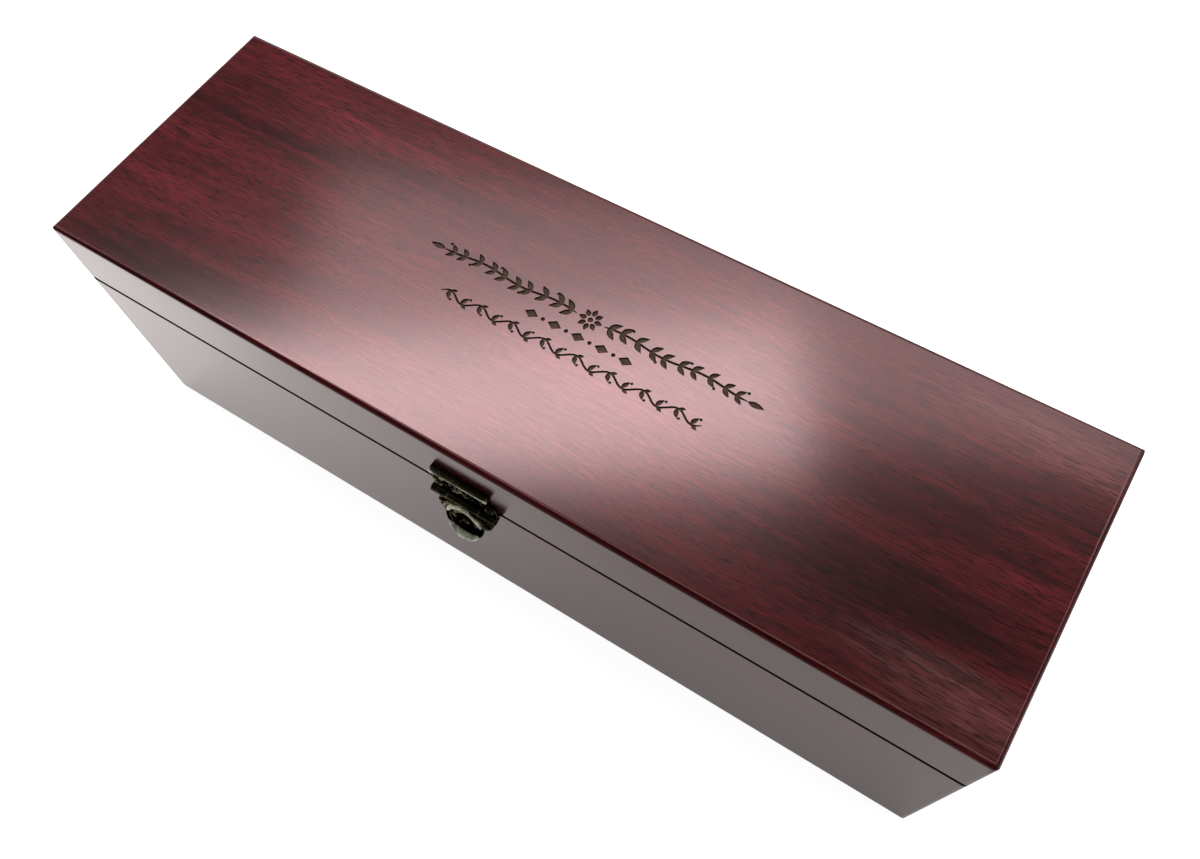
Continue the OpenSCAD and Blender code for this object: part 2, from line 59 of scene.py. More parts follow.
class Shader:
    # a material's node tree with short ways to add to it

    def __init__(self, name, world=False):
        self.owner = (bpy.data.worlds if world else bpy.data.materials).new(name)
        self.owner.use_nodes = True
        self.tree = self.owner.node_tree
        self.tree.nodes.clear()
        self.output = self.add("ShaderNodeOutputWorld" if world else "ShaderNodeOutputMaterial")

    def add(self, kind, inputs=None, **settings):
        node = self.tree.nodes.new(kind)
        for key, value in settings.items():
            setattr(node, key, value)
        for key, value in (inputs or {}).items():
            self.plug(node.inputs[key], value)
        return node

    def plug(self, socket, value):
        if isinstance(value, bpy.types.NodeSocket):
            self.tree.links.new(value, socket)
        elif isinstance(value, bpy.types.Node):
            self.tree.links.new(value.outputs[0], socket)
        else:
            socket.default_value = value

    def objectPoint(self, scale=(1, 1, 1), turn=(0, 0, 0)):
        coords = self.add("ShaderNodeTexCoord").outputs["Object"]
        return self.add("ShaderNodeMapping", {0: coords, "Rotation": turn, "Scale": scale})

    def noise(self, vector, scale=1.0, detail=4.0, roughness=0.5):
        inputs = {"Vector": vector, "Scale": scale, "Detail": detail, "Roughness": roughness}
        return self.add("ShaderNodeTexNoise", inputs).outputs[0]

    def ramp(self, value, stops, mode="LINEAR"):
        node = self.add("ShaderNodeValToRGB", {0: value})
        ramp = node.color_ramp
        ramp.interpolation = mode
        while len(ramp.elements) < len(stops):
            ramp.elements.new(0.5)
        for element, (place, colour) in zip(ramp.elements, stops):
            element.position = place
            element.color = grey(colour) if isinstance(colour, (int, float)) else colour
        return node.outputs[0]

    def parts(self, vector):
        return self.add("ShaderNodeSeparateXYZ", {0: vector}).outputs

    def between(self, value, start, end, low=0.0, high=1.0):
        # goes smoothly from low to high while the value goes from start to end
        limits = {"Value": value, "From Min": start, "From Max": end, "To Min": low, "To Max": high}
        return self.add("ShaderNodeMapRange", limits, interpolation_type="SMOOTHSTEP").outputs[0]

    def blend(self, factor, a, b):
        # mixes two plain values
        return self.add("ShaderNodeMix", {0: factor, 2: a, 3: b}).outputs[0]

    def mix(self, factor, a, b, blend="MIX"):
        # mixes two colours
        inputs = {0: factor, 6: a, 7: b}
        return self.add("ShaderNodeMix", inputs, data_type="RGBA", blend_type=blend).outputs[2]

    def math(self, kind, a, b=0.0, c=0.0, clamp=False):
        inputs = {0: a, 1: b, 2: c} if kind == "MULTIPLY_ADD" else {0: a, 1: b}
        return self.add("ShaderNodeMath", inputs, operation=kind, use_clamp=clamp).outputs[0]

    def bump(self, height, strength, distance, under=None):
        inputs = {"Height": height, "Strength": strength, "Distance": distance}
        if under is not None:
            inputs["Normal"] = under
        return self.add("ShaderNodeBump", inputs).outputs[0]

    def surface(self, inputs):
        shader = self.add("ShaderNodeBsdfPrincipled", inputs)
        self.plug(self.output.inputs["Surface"], shader.outputs[0])
        return self.owner


def paint(material, *names):
    for name in names:
        mesh = nodes[name].data
        mesh.materials.clear()
        mesh.materials.append(material)


def softenShading(obj, degrees=30):
    # smooth across small angles, crisp along real edges
    mesh = obj.data
    mesh.polygons.foreach_set("use_smooth", [True] * len(mesh.polygons))
    mesh.set_sharp_from_angle(angle=math.radians(degrees))


def addTube(work, path, radii, sides=8, closed=False):
    # a round strip along a path, with its own radius at each point
    count = len(path)
    rings = []
    for k, point in enumerate(path):
        after = path[(k + 1) % count] if closed or k < count - 1 else path[k]
        before = path[k - 1] if closed or k else path[k]
        way = (Vector(after) - Vector(before)).normalized()
        side = way.cross(Vector((0, 0, 1)))
        side = side.normalized() if side.length > 0.01 else Vector((1, 0, 0))
        up = side.cross(way)
        ring = []
        for j in range(sides):
            a = 2 * math.pi * j / sides
            ring.append(work.verts.new(Vector(point) + (side * math.cos(a) + up * math.sin(a)) * radii[k]))
        rings.append(ring)
    for k in range(count if closed else count - 1):
        a, b = rings[k], rings[(k + 1) % count]
        for j in range(sides):
            n = (j + 1) % sides
            work.faces.new((a[j], a[n], b[n], b[j]))
    if not closed:
        work.faces.new(rings[0][::-1])
        work.faces.new(rings[-1])


def meshOf(name, work, *materials):
    bmesh.ops.recalc_face_normals(work, faces=work.faces)
    mesh = bpy.data.meshes.new(name)
    work.to_mesh(mesh)
    work.free()
    mesh.polygons.foreach_set("use_smooth", [True] * len(mesh.polygons))
    for material in materials:
        mesh.materials.append(material)
    return mesh


def newObject(name, data):
    obj = bpy.data.objects.new(name, data)
    bpy.context.scene.collection.objects.link(obj)
    return obj


def shapedMesh(obj):
    # the mesh with its modifiers worked in
    mesh = bpy.data.meshes.new_from_object(obj.evaluated_get(bpy.context.evaluated_depsgraph_get()))
    obj.modifiers.clear()
    return mesh


def addPiece(name, mesh, body):
    obj = newObject(name, mesh)
    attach(obj, body)


# Wood

rosewood = {
    "dark": (25, 11, 12),
    "red": (80, 23, 27),
    "brightRed": (118, 38, 44),
    "pale": (170, 125, 122),
    "pore": (12, 6, 7),
    "sidePaintedShade": 0.34,  # painted shade: the upright boards are darkened, as they get less of the lamps' light than the lid's top
    "seamPaintedShade": 0.4,  # painted shade: the edges that meet at the seam are darkened nearly to black, as the narrow gap lies in shade
    "roundPaintedShade": (0.62, 0.2, 0.26, 1),  # painted shade: the lid's rounded upper edge is darkened to a deep red, as it mirrors the dark room
    "roundPaintedHighlight": 0.27,  # how much paler the painted highlight line along that edge is
    "waviness": 0.007,  # how far the grain wanders, in metres
    "gloss": 0.175,
    "shine": 1.0,
    "glossTint": (1.0, 0.68, 0.70, 1.0),
    "poreDepth": 0.012 * mm,  # mostly filled by the lacquer
    "poreRelief": 0.05,
    # streaks of the grain: fineness along and across it, layers, roughness,
    # and the level of the noise at which they begin and are full
    "streaks": {
        "tone": (5, 46, 3, 0.55, 0.30, 0.68),
        "band": (15, 260, 4, 0.55, 0.66, 0.34),
        "fine": (85, 1350, 4, 0.65, 0.60, 0.36),
        "fleck": (130, 1700, 2, 0.55, 0.52, 0.70),
        "pore": (150, 2300, 3, 0.6, 0.48, 0.37),
    },
    "strength": {"band": 0.4, "fleck": 0.22, "fine": 0.55, "pore": 0.75},
    # soft dark places of the lid's sheet of veneer: x, y, half length, half width, depth
    "lidClouds": [
        (-0.172, 0.030, 0.06, 0.014, 0.6), (-0.122, -0.050, 0.085, 0.018, 0.95),
        (0.134, -0.027, 0.075, 0.027, 0.9), (0.138, 0.006, 0.055, 0.015, 0.65),
        (0.02, -0.052, 0.06, 0.006, 0.35), (-0.04, -0.03, 0.09, 0.006, 0.3),
        (0.09, 0.034, 0.06, 0.006, 0.3), (-0.09, -0.012, 0.07, 0.004, 0.25),
    ],
    # paler places, in the same terms
    "lidLights": [(0.172, -0.046, 0.055, 0.017, 0.17), (0.170, 0.042, 0.05, 0.014, 0.2)],
    # a dark vein across the lid: place along x from end to end, and y
    "lidVein": [(0.0, 0.0175), (0.14, 0.0185), (0.28, 0.0275), (0.43, 0.0297), (0.57, 0.0277),
                (0.70, 0.025), (1.0, 0.0205)],
    "veinLength": 0.36,
}
plainWood = {
    **rosewood,
    "dark": (34, 20, 13),
    "red": (74, 42, 27),
    "brightRed": (92, 56, 36),
    "pore": (24, 14, 9),
    "gloss": 0.5,
    "shine": 0.35,
    "glossTint": (1.0, 1.0, 1.0, 1.0),
    "sidePaintedShade": 1.0,
    "seamPaintedShade": 1.0,
}
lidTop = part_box("top_panel")[1][2]
seamHeight = (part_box("front_wall")[1][2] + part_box("lid_front_rail")[0][2]) / 2


def addPatches(s, grain, feather, places):
    # soft long spots, the strongest of them at each point
    most = 0.0
    for x, y, halfLong, halfWide, depth in places:
        centre, size = (-x / halfLong, -y / halfWide, 0), (1 / halfLong, 1 / halfWide, 0.0)
        around = s.add("ShaderNodeMapping", {0: grain, "Location": centre, "Scale": size})
        away = s.add("ShaderNodeVectorMath", {0: around}, operation="LENGTH").outputs["Value"]
        near = s.math("SUBTRACT", away, feather)
        spot = s.math("MULTIPLY", s.ramp(near, [(0.15, 1.0), (1.0, 0.0)], "EASE"), depth)
        most = s.math("MAXIMUM", most, spot)
    return most


def addVein(s, grain, feather, wood):
    # a narrow dark line in a wide soft one, about 2 and 11 mm to each side, both frayed along the grain
    place = s.parts(grain)
    along = s.math("MULTIPLY_ADD", place[0], 1 / wood["veinLength"], 0.5)
    # the curve holds tenths of a metre, as its points have to lie between 0 and 1
    line = s.add("ShaderNodeFloatCurve", {"Factor": 1.0, "Value": along})
    points = line.mapping.curves[0].points
    while len(points) < len(wood["lidVein"]):
        points.new(0.5, 0.5)
    for spot, (x, y) in zip(points, wood["lidVein"]):
        spot.location = (x, y * 10)
    line.mapping.update()
    off = s.math("ABSOLUTE", s.math("MULTIPLY_ADD", line, -0.1, place[1]))
    core = s.math("MULTIPLY_ADD", off, 160.0, s.math("MULTIPLY", feather, 0.6))
    narrow = s.math("MULTIPLY", s.ramp(core, [(0.0, 1.0), (0.36, 0.0)], "EASE"), 0.75)
    edge = s.math("MULTIPLY_ADD", off, 70.0, feather)
    wide = s.math("MULTIPLY", s.ramp(edge, [(0.0, 1.0), (0.8, 0.0)], "EASE"), 0.55)
    return s.math("MAXIMUM", narrow, wide)


def paintRoundEdgeLight(s, wood, colour, height):
    # down the lid sheet's rounded edge: a painted highlight line, a deep red painted shade, then the painted
    # shade of the sides
    # painted highlight: a pale line where the rounded edge starts to turn down from the top
    upright = s.parts(s.add("ShaderNodeTexCoord").outputs["Normal"])[2]
    line = s.ramp(upright, [(0.93, 0.0), (0.955, 1.0), (0.985, 1.0), (0.997, 0.0)])
    colour = s.mix(s.math("MULTIPLY", line, wood["roundPaintedHighlight"]), colour, toLinear(wood["pale"]))
    # 0 to 1 is 3 mm of depth
    under = s.math("MULTIPLY_ADD", height, -1000 / 3, 1000 / 3 * lidTop)
    roundShade = wood["roundPaintedShade"]
    shade = s.ramp(under, [(0.01, 1.0), (0.07, roundShade), (0.5, roundShade), (0.72, wood["sidePaintedShade"])])
    return s.mix(1.0, colour, shade, "MULTIPLY")


def makeVeneer(name, wood, alongY=False, seed=0.0, onLid=False):
    s = Shader(name)
    point = s.objectPoint(turn=(0, 0, math.radians(90)) if alongY else (0, 0, 0))
    spread = {0: point, "Location": (seed,) * 3, "Scale": (5, 12, 12)}
    drift = s.noise(s.add("ShaderNodeMapping", spread), 1, 2)
    most = 2 * wood["waviness"]
    sway = s.add("ShaderNodeVectorMath", {0: (0.0, most, most)}, operation="SCALE")
    s.plug(sway.inputs["Scale"], s.math("SUBTRACT", drift, 0.5))
    grain = s.add("ShaderNodeVectorMath", {0: point, 1: sway}, operation="ADD")

    def streak(long, across, detail, rough):
        # noise drawn out along the grain
        spread = {0: grain, "Location": (seed, 3 * seed, 0), "Scale": (long, across, across)}
        return s.noise(s.add("ShaderNodeMapping", spread), 1, detail, rough)

    marks = {}
    for key, (long, across, detail, rough, begin, full) in wood["streaks"].items():
        marks[key] = s.ramp(streak(long, across, detail, rough), sorted([(begin, 0.0), (full, 1.0)]))
    share = {key: s.math("MULTIPLY", marks[key], strength) for key, strength in wood["strength"].items()}
    dark, red, bright, pale, pore = (toLinear(wood[k]) for k in ("dark", "red", "brightRed", "pale", "pore"))

    feather = s.math("MULTIPLY_ADD", streak(9, 190, 6, 0.7), 2.2, -1.1)
    if onLid:
        patches, vein = addPatches(s, grain, feather, wood["lidClouds"]), addVein(s, grain, feather, wood)
        cloud = s.math("MAXIMUM", patches, vein)
    else:
        cloud = s.ramp(streak(3.4, 30, 2, 0.55), [(0.32, 0.8), (0.46, 0.0)], "EASE")
    # the bands run through the clouds and the lights
    cloud = s.math("MULTIPLY", cloud, s.math("MULTIPLY_ADD", marks["band"], 0.24, 0.72))
    colour = s.mix(marks["tone"], red, bright)
    for amount, shade in ((share["band"], dark), (cloud, dark), (share["fleck"], bright)):
        colour = s.mix(amount, colour, shade)
    if onLid:
        lights = addPatches(s, grain, feather, wood["lidLights"])
        lights = s.math("MULTIPLY", lights, s.math("MULTIPLY_ADD", marks["band"], -0.7, 1.2))
        colour = s.mix(lights, colour, pale)
    for amount, shade in ((share["fine"], dark), (share["pore"], pore)):
        colour = s.mix(amount, colour, shade)

    height = s.parts(point)[2]
    if onLid:
        colour = paintRoundEdgeLight(s, wood, colour, height)
    else:
        # painted shade on the upright boards, which face away from the lamps
        colour = s.mix(1.0, colour, grey(wood["sidePaintedShade"]), "MULTIPLY")
    # painted shade in the narrow gap: darker within about a millimetre of the seam
    fromSeam = s.math("ABSOLUTE", s.math("SUBTRACT", height, seamHeight))
    seam = s.ramp(s.math("MULTIPLY", fromSeam, 500.0), [(0.5, wood["seamPaintedShade"]), (0.62, 1.0)])
    grooves = s.math("MULTIPLY_ADD", marks["pore"], -1.0, s.math("MULTIPLY", marks["fine"], -0.5))
    return s.surface({
        "Base Color": s.mix(1.0, colour, seam, "MULTIPLY"),
        "Roughness": s.math("MULTIPLY_ADD", marks["fine"], 0.02, wood["gloss"]),
        "Normal": s.bump(grooves, wood["poreRelief"], wood["poreDepth"]),
        "Specular IOR Level": wood["shine"],
        "Specular Tint": wood["glossTint"],
    })


paint(makeVeneer("rosewoodLidSheet", rosewood, onLid=True), "top_panel")
paint(makeVeneer("rosewoodLongBoards", rosewood, seed=1.7),
      "front_wall", "back_wall", "lid_front_rail", "lid_back_rail")
paint(makeVeneer("rosewoodEndBoards", rosewood, alongY=True, seed=4.1),
      "left_wall", "right_wall", "lid_left_rail", "lid_right_rail")
paint(makeVeneer("stainedBoard", plainWood, seed=7.3), "bottom_panel")
print("wood done")


# Brass

brass = {
    # colours of the recesses, the body and the worn edges
    # wear: least share of the worn colour on an edge, edgeShare: most of it on a curved one
    # rim: how much of the grazing shine is kept, rightPaintedShade: how much darker the right side is
    # painted, as shade away from the lamps on the left
    # metal: below 1 the rest takes the room's light like paint, which keeps rubbed brass bright
    # bodyColourAbove: the height above the table over which it shows its body colour all over
    "antique": {"recess": (7, 7, 5), "body": (112, 115, 82), "worn": (222, 217, 184), "roughness": 0.13,
                "wear": 0.4, "edgeShare": 0.5, "rim": 0.2, "rightPaintedShade": 0.4, "metal": 0.98,
                "bodyColourAbove": 91.6 * mm},
    "rubbed": {"recess": (12, 12, 9), "body": (166, 158, 114), "worn": (246, 240, 208), "roughness": 0.18,
               "wear": 0.85, "edgeShare": 0.85, "rim": 0.7, "rightPaintedShade": 0.7, "metal": 0.85},
    # polished brass whose near-white, half paint-like colour is a painted highlight, the white floor's
    # reflection on the bowl's rim and lip and on the bar's moulding and knobs
    "polishedWithPaintedHighlight": {"recess": (150, 149, 134), "body": (232, 231, 212), "worn": (250, 247, 228),
                 "roughness": 0.36, "wear": 0.6, "edgeShare": 0.85, "rim": 1.0, "rightPaintedShade": 0.0, "metal": 0.5},
    "hinge": {"recess": (128, 104, 62), "body": (170, 142, 88), "worn": (222, 200, 146), "roughness": 0.24,
              "wear": 0.2, "edgeShare": 0.85, "rim": 0.9, "rightPaintedShade": 0.0, "metal": 0.98},
}
# fineness of the tarnished patches, of the specks and of the cast surface, and how far edges are worn round
brassGrain = {"patches": 420, "specks": 1500, "casting": 1800, "edge": 0.35 * mm}
frontFace = 56  # mm from the middle of the box to the face of its front


def makeBrass(name, kind):
    s = Shader(name)
    recess, body, worn = (toLinear(kind[k]) for k in ("recess", "body", "worn"))
    point = s.objectPoint()
    shape = s.add("ShaderNodeNewGeometry").outputs
    rounded = s.add("ShaderNodeBevel", {"Radius": brassGrain["edge"]}, samples=6).outputs[0]
    turn = s.add("ShaderNodeVectorMath", {0: rounded, 1: shape["Normal"]}, operation="DOT_PRODUCT")
    edge = s.math("MAXIMUM", s.ramp(turn.outputs["Value"], [(0.84, 1.0), (0.97, 0.0)]),
                  s.ramp(shape["Pointiness"], [(0.62, 0.0), (0.72, kind["edgeShare"])]))
    hollow = s.ramp(shape["Pointiness"], [(0.42, 1.0), (0.495, 0.0)])
    patch = s.noise(point, brassGrain["patches"], 4, 0.6)
    rubbed = s.math("MULTIPLY", edge, s.ramp(patch, [(0.35, kind["wear"]), (0.6, 1.0)]))
    speck = s.ramp(s.noise(point, brassGrain["specks"], 3, 0.6), [(0.35, 0.0), (0.7, 1.0)])
    bare = s.ramp(patch, [(0.38, 0.0), (0.62, 1.0)])
    x, y, z = s.parts(point)
    if "bodyColourAbove" in kind:
        # only the flat bar shows the body colour; below it, and within about a millimetre of the wood, the
        # brass is nearly as dark as its recesses
        above = s.math("MULTIPLY_ADD", z, 1000.0, -1000 * kind["bodyColourAbove"])
        above = s.ramp(above, [(0.0, 0.0), (1.0, 1.0)])
        clear = s.ramp(s.math("MULTIPLY_ADD", y, -1000 / 3, -frontFace / 3), [(0.28, 0.0), (0.42, 1.0)])
        bare = s.math("MULTIPLY_ADD", above, clear, s.math("MULTIPLY", bare, 0.05), clamp=True)
    if kind["rightPaintedShade"]:
        # painted shade on the right side, away from the lamps on the left; the change runs from 2 mm left of
        # the middle to 4 mm right of it
        kept = s.ramp(s.math("MULTIPLY_ADD", x, 38.0, 0.5), [(0.42, 1.0), (0.66, 1.0 - kind["rightPaintedShade"])])
        bare = s.math("MULTIPLY", bare, kept)
        rubbed = s.math("MULTIPLY", rubbed, kept)
    colour = s.mix(bare, recess, body)
    colour = s.mix(s.math("MAXIMUM", hollow, s.math("MULTIPLY", speck, 0.3)), colour, recess)
    return s.surface({
        "Base Color": s.mix(rubbed, colour, worn),
        "Metallic": kind["metal"],
        "Roughness": s.math("MULTIPLY_ADD", speck, 0.16, kind["roughness"]),
        "Specular Tint": (kind["rim"], kind["rim"], 0.85 * kind["rim"], 1.0),
        "Normal": s.bump(s.noise(point, brassGrain["casting"], 3), 0.12, 0.05 * mm, rounded),
    })


metals = {kind: makeBrass(kind + "Brass", brass[kind]) for kind in brass}
paint(metals["antique"], "latch_plate", "latch_hasp", "latch_pin", "latch_catch",
      "latch_brads_lid", "latch_brads_case")
paint(metals["hinge"], "hinge_screws_case", "hinge_screws_lid",
      *(side + part for side in ("left_hinge_", "right_hinge_") for part in ("case_leaf", "lid_leaf", "pin")))
for obj in nodes.values():
    softenShading(obj)


relief = {
    # mm, measured from the latch's pivot: across, up, and out from the box's front
    "pivotHeight": 79.35,  # above the table
    "pivotOut": 2.4,
    "hang": 7.0,  # degrees the hasp stands out at rest
    "bowl": {"height": -10.1, "out": 3.7, "radius": 7.3, "tilt": 9.0, "depth": 1.4},
    # on each side the scroll under the bar, the hasp's shoulder and the bowl's lobe, with their thickness
    "scroll": ([(1.2, 12.2, 1.3), (4.2, 12.4, 1.6), (7.2, 11, 1.6), (8.6, 9, 1.5), (7.6, 7.9, 1.4)], 0.62),
    "shoulder": ([(2.3, -2, 3.4), (5.2, -2.3, 3.6), (7.4, -4.4, 3.5), (8.5, -7.2, 3.4), (8.2, -9.8, 3.5)],
                 0.8),
    "lobe": ([(0.9, 3.9, 0.2), (3.2, 3.5, 0.4), (4.9, 1.2, 0.4), (4.3, -1.9, 0.1)], 1.0),
    # curls: place, radius, first angle, how far they wind in degrees, and thickness
    "plateCurl": ((10.3, 4.2, 1.35, 1.9, 70, -330), 0.55),
    "haspCurl": ((9.2, -6.2, 3.25, 1.5, 120, 330), 0.5),
    # the fan of ribs in the plate's middle, each with its angle and length
    "fan": {"foot": 5.6, "ribs": [(28, 4.2), (58, 4.9), (84, 5.3)], "thickness": 0.5},
    "bead": ((0, -1.4, 0.1), 1.5),  # in the bowl
    # the bowl's thick upper rim and its drawn-out lip: distance past the bowl's edge, lift, angles,
    # radius at the ends, what the middle adds, and how full they are
    "rim": {"past": -0.1, "lift": 0.4, "angles": (170, 9, -16), "thin": 0.25, "thick": 1.15, "fullness": 0.5},
    "lip": {"past": 0.2, "lift": 0.45, "angles": (-150, -29, 20), "thin": 0.3, "thick": 1.25,
            "fullness": 0.8},
    # the thin moulding along the bar's lower edge, with a knob at each end
    "moulding": {"half": 10.9, "height": 13.2, "out": 2.2, "radius": 0.34,
                 "leftKnob": 1.05, "rightKnob": 0.85},
}


def onPlate(x, y, out):
    return (x * mm, (-frontFace - out) * mm, (relief["pivotHeight"] + y) * mm)


def onHasp(x, y, out):
    c, n = math.cos(math.radians(relief["hang"])), math.sin(math.radians(relief["hang"]))
    o = out - relief["pivotOut"]
    return onPlate(x, y * c + o * n, relief["pivotOut"] + o * c - y * n)


def inBowl(x, y, lift=0.0):
    # a point on the bowl's hollow side, x and y from its middle
    bowl = relief["bowl"]
    deep = bowl["depth"] * (1 - min(1, (x * x + y * y) / bowl["radius"] ** 2)) - lift
    a = math.radians(bowl["tilt"])
    return onHasp(x, bowl["height"] + y * math.cos(a) - deep * math.sin(a),
                  bowl["out"] - y * math.sin(a) - deep * math.cos(a))


def swept(points, steps=6):
    # a smooth line through a few points
    full = []
    for k in range(len(points) - 1):
        p = [Vector(points[min(max(k + j, 0), len(points) - 1)]) for j in (-1, 0, 1, 2)]
        for j in range(steps):
            t = j / steps
            full.append(0.5 * (2 * p[1] + (p[2] - p[0]) * t + (2 * p[0] - 5 * p[1] + 4 * p[2] - p[3]) * t * t
                               + (3 * p[1] - p[0] - 3 * p[2] + p[3]) * t ** 3))
    return full + [Vector(points[-1])]


def leafRadius(t, root=0.5, tip=0.25, widest=0.55):
    # share of a leaf's thickness at t, from 0 at its root to 1 at its tip
    if t < widest:
        return root + (1 - root) * math.sin(math.pi * min(1, t * 1.35) ** 0.8)
    return tip + (1 - tip) * math.cos(math.pi / 2 * (t - widest) / (1 - widest))


def addLeaf(work, place, points, thickness):
    # a swelling scroll or leaf vein along points in the latch's own frame
    line = swept([place(*point) for point in points])
    addTube(work, line, [thickness * mm * leafRadius(k / (len(line) - 1)) for k in range(len(line))])


def curl(x, y, out, r, start, sweep, side):
    # points of a spiral that winds inwards
    points = []
    for t in (i / 9 for i in range(10)):
        a, reach = math.radians(start + sweep * t), r * (1 - 0.55 * t)
        points.append((side * (x + reach * math.cos(a)), y + reach * math.sin(a), out + 0.25 * t))
    return points


def addBead(work, place, r):
    for v in bmesh.ops.create_uvsphere(work, u_segments=16, v_segments=10, radius=r * mm)["verts"]:
        v.co = Vector((v.co.x, v.co.y * 0.6, v.co.z)) + Vector(place)


def addCrescent(work, shape):
    # a bar along the bowl's edge, thickest in its middle
    r = relief["bowl"]["radius"] + shape["past"]
    angles = [math.radians(a) for a in range(*shape["angles"])]
    line = swept([inBowl(r * math.cos(a), r * math.sin(a), shape["lift"]) for a in angles], 3)
    swells = (math.sin(math.pi * k / (len(line) - 1)) ** shape["fullness"] for k in range(len(line)))
    addTube(work, line, [mm * (shape["thin"] + shape["thick"] * swell) for swell in swells], 12)


def polishAndHighlightFrom(work, first):
    # the faces from this one on take the piece's second material, polished brass with a painted highlight
    for face in list(work.faces)[first:]:
        face.material_index = 1


def makeRelief():
    plate, hasp = bmesh.new(), bmesh.new()
    lines = ((plate, onPlate, "scroll"), (hasp, onHasp, "shoulder"), (hasp, inBowl, "lobe"))
    curls = ((plate, onPlate, "plateCurl"), (hasp, onHasp, "haspCurl"))
    fan = relief["fan"]
    for side in (-1, 1):
        for work, place, key in lines:
            points, thickness = relief[key]
            addLeaf(work, place, [(side * x, y, out) for x, y, out in points], thickness)
        for work, place, key in curls:
            spiral, thickness = relief[key]
            addLeaf(work, place, curl(*spiral, side), thickness)
        for angle, long in fan["ribs"]:
            c, n = math.cos(math.radians(angle)) * side, math.sin(math.radians(angle))
            spots = ((1.3, 1.7), (long * 0.6, 1.9), (long, 1.35))
            rib = [(c * away, fan["foot"] + n * away, out) for away, out in spots]
            addLeaf(plate, onPlate, rib, fan["thickness"])
    place, r = relief["bead"]
    addBead(hasp, inBowl(*place), r)
    dull = len(hasp.faces)
    addCrescent(hasp, relief["rim"])
    addCrescent(hasp, relief["lip"])
    polishAndHighlightFrom(hasp, dull)

    dull = len(plate.faces)
    bar = relief["moulding"]
    line = [onPlate(bar["half"] * (k / 12 - 1), bar["height"], bar["out"]) for k in range(25)]
    addTube(plate, line, [bar["radius"] * mm] * len(line))
    for side, knob in ((-1, bar["leftKnob"]), (1, bar["rightKnob"])):
        addBead(plate, onPlate(side * bar["half"], bar["height"] + 0.2, bar["out"]), knob)
    polishAndHighlightFrom(plate, dull)
    for name, work, body in (("plate_relief", plate, "lid"), ("hasp_relief", hasp, "hasp")):
        addPiece(name, meshOf(name, work, metals["rubbed"], metals["polishedWithPaintedHighlight"]), body)


makeRelief()
print("metal done")


# Engraved ornament in the lid

engraving = {
    "depth": 0.5 * mm,
    "boardRound": 2 * mm,  # radius of the lid's rounded upper edges
    # the three rows, in mm: their ends along the lid, their place across it and their shapes
    # gap: from the middle of the flower to where its branches start
    "branchRow": {"from": -56, "to": 75, "y": 9.3, "stem": 0.9, "leaf": 5.0, "leafWidth": 2.1, "step": 5.6,
                  "gap": 5.4, "petal": 3.0, "petalWidth": 1.9, "petalFrom": 1.5, "eye": 0.95},
    "lozengeRow": {"from": -13.5, "to": 32.5, "y": 1.5, "height": 3.6, "count": 5},
    "vineRow": {"from": -41, "to": 61, "y": -6.2, "swing": 1.5, "stem": 0.75, "leaf": 3.6, "leafWidth": 1.7,
                "wave": 12.75},
    # dark and light of the burnt wood, and the painted shade near the walls and in the corners
    "wall": ((14, 10, 8), (34, 24, 18)),
    "ground": ((46, 34, 26), (98, 76, 60)),
    "cornerPaintedShade": (12, 8, 7),
}


def turned(points, angle, x, y):
    c, n = math.cos(angle), math.sin(angle)
    return [(x + c * u - n * v, y + n * u + c * v) for u, v in points]


def leafShape(x, y, angle, length, width, bend=0.12):
    # a pointed leaf that starts at x, y
    sides = [(t / 9, math.sin(math.pi * (t / 9) ** 0.8)) for t in range(10)]
    upper = [(length * t, width / 2 * w + bend * length * t * (1 - t)) for t, w in sides]
    lower = [(length * t, -width / 2 * w + bend * length * t * (1 - t)) for t, w in sides[1:-1]]
    return turned(lower + upper[::-1], angle, x, y)


def discShape(x, y, r, sides=20):
    angles = [2 * math.pi * k / sides for k in range(sides)]
    return [(x + r * math.cos(a), y + r * math.sin(a)) for a in angles]


def stemShape(points, width):
    # a line of even width that tapers at both ends
    left, right = [], []
    for k, (x, y) in enumerate(points):
        before, after = points[max(k - 1, 0)], points[min(k + 1, len(points) - 1)]
        dx, dy = after[0] - before[0], after[1] - before[1]
        size = math.hypot(dx, dy) or 1
        half = width / 2 * min(1, 0.35 + 0.35 * min(k, len(points) - 1 - k))
        left.append((x - dy / size * half, y + dx / size * half))
        right.append((x + dy / size * half, y - dx / size * half))
    return right + left[::-1]


